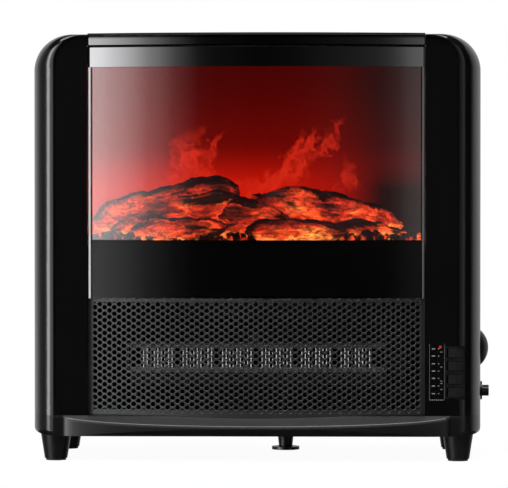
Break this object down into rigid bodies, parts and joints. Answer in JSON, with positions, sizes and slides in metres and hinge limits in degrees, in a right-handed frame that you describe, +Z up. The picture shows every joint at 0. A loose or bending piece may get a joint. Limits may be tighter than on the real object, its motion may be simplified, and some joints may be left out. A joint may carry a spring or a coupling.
{
  "type": "electric fireplace",
  "caption": "Free-standing electric fireplace heater with a bowed glass front, glowing log set, perforated outlet grille, side thermostat and dimmer knobs and a tip-over switch",
  "frame": {"origin": "centre of the bounding box on the floor, under the feet", "axes": "+X to the object's right as seen from the front, +Y from the front to the back, +Z up"},
  "size_m": [0.4559, 0.207, 0.4235],
  "materials": {
    "gloss_black": "high-gloss black moulding",
    "satin_black": "satin black moulding",
    "black_trim": "mirror-polished dark trim",
    "black_sheet": "black powder coat on sheet steel",
    "zinc_steel": "zinc-plated steel",
    "rubber_black": "matt black rubber",
    "clear_glass": "clear bent glass",
    "tint": "half-mirror grey tint film",
    "mask_black": "black print behind the glass",
    "switch_black": "fine-textured black plastic",
    "red_lens": "red translucent lens, lit",
    "mirror_sheet": "polished reflector sheet",
    "flame_glow": "translucent screen, lit red from behind",
    "ember_resin": "painted translucent resin, lit from below",
    "bronze": "sintered bronze",
    "circuit_green": "green circuit board",
    "lamp_amber": "amber lamp, lit",
    "fin_aluminium": "bare aluminium",
    "bar_ceramic": "unglazed ceramic",
    "motor_steel": "lacquered steel laminations"
  },
  "bodies": {
    "case": {"left_side_panel": "gloss_black", "right_side_panel": "gloss_black", "top_panel": "black_trim", "base_tray": "satin_black", "rear_cover": "black_sheet", "intake_filter": "rubber_black", "case_screws": "zinc_steel", "cord_gland": "rubber_black", "foot_front_left": "satin_black", "foot_front_right": "satin_black", "foot_rear_left": "satin_black", "foot_rear_right": "satin_black", "foot_pads": "rubber_black", "foot_screws": "zinc_steel", "front_glass": "clear_glass", "tint_film": "tint", "lower_mask": "mask_black", "upper_trim": "black_trim", "outlet_grille": "black_sheet", "front_clips": "satin_black", "thermostat_body": "switch_black", "dimmer_collar": "satin_black", "dimmer_body": "zinc_steel", "switch_plate": "switch_black", "rocker_bodies": "switch_black", "indicator_lens": "red_lens", "divider_shelf": "black_sheet", "firebox_liner": "black_sheet", "firebox_back": "mirror_sheet", "flame_screen": "flame_glow", "ember_bed": "ember_resin", "log_left": "ember_resin", "log_right": "ember_resin", "log_front_left": "ember_resin", "log_front_right": "ember_resin", "rotor_motor": "zinc_steel", "rotor_bush": "bronze", "light_board": "circuit_green", "light_emitters": "lamp_amber", "heater_duct": "zinc_steel", "heater_fins": "fin_aluminium", "heater_bars": "bar_ceramic", "blower_housing": "zinc_steel", "blower_motor": "motor_steel", "blower_bush": "bronze", "thermal_cutout": "bar_ceramic", "control_board": "circuit_green", "tip_switch": "switch_black"},
    "thermostat": {"thermostat_knob": "satin_black", "thermostat_shaft": "zinc_steel"},
    "dimmer": {"dimmer_knob": "satin_black"},
    "key_1": {"rocker_key_1": "switch_black"},
    "key_2": {"rocker_key_2": "switch_black"},
    "key_3": {"rocker_key_3": "switch_black"},
    "key_4": {"rocker_key_4": "switch_black"},
    "plunger": {"tip_plunger": "satin_black"},
    "blower": {"blower_wheel": "fin_aluminium", "blower_shaft": "zinc_steel"},
    "rotor": {"rotor_shaft": "zinc_steel", "rotor_flags": "mirror_sheet"}
  },
  "joints": [
    {"name": "thermostat_turn", "type": "hinge", "parent": "case", "child": "thermostat", "pos_m": [0.2181, -0.0165, 0.1103], "axis": [1, 0, 0], "range_deg": [0, 270]},
    {"name": "dimmer_turn", "type": "hinge", "parent": "case", "child": "dimmer", "pos_m": [0.2231, -0.0165, 0.067], "axis": [1, 0, 0], "range_deg": [0, 280]},
    {"name": "key_1_tip", "type": "hinge", "parent": "case", "child": "key_1", "pos_m": [0.1909, -0.0794, 0.1081], "axis": [0, 0, -1], "range_deg": [0, 14]},
    {"name": "key_2_tip", "type": "hinge", "parent": "case", "child": "key_2", "pos_m": [0.1909, -0.0794, 0.0951], "axis": [0, 0, -1], "range_deg": [0, 14]},
    {"name": "key_3_tip", "type": "hinge", "parent": "case", "child": "key_3", "pos_m": [0.1909, -0.0794, 0.0821], "axis": [0, 0, -1], "range_deg": [0, 14]},
    {"name": "key_4_tip", "type": "hinge", "parent": "case", "child": "key_4", "pos_m": [0.1909, -0.0794, 0.0691], "axis": [0, 0, -1], "range_deg": [0, 14]},
    {"name": "plunger_slide", "type": "slide", "parent": "case", "child": "plunger", "axis": [0, 0, 1], "range_m": [-0.008, 0.003], "stiffness_N_per_m": 50, "springref_m": -0.012},
    {"name": "blower_spin", "type": "hinge", "parent": "case", "child": "blower", "pos_m": [-0.0049, 0.0135, 0.102], "axis": [1, 0, 0], "continuous": true},
    {"name": "rotor_spin", "type": "hinge", "parent": "case", "child": "rotor", "pos_m": [-0.0049, 0.0375, 0.244], "axis": [1, 0, 0], "continuous": true}
  ]
}
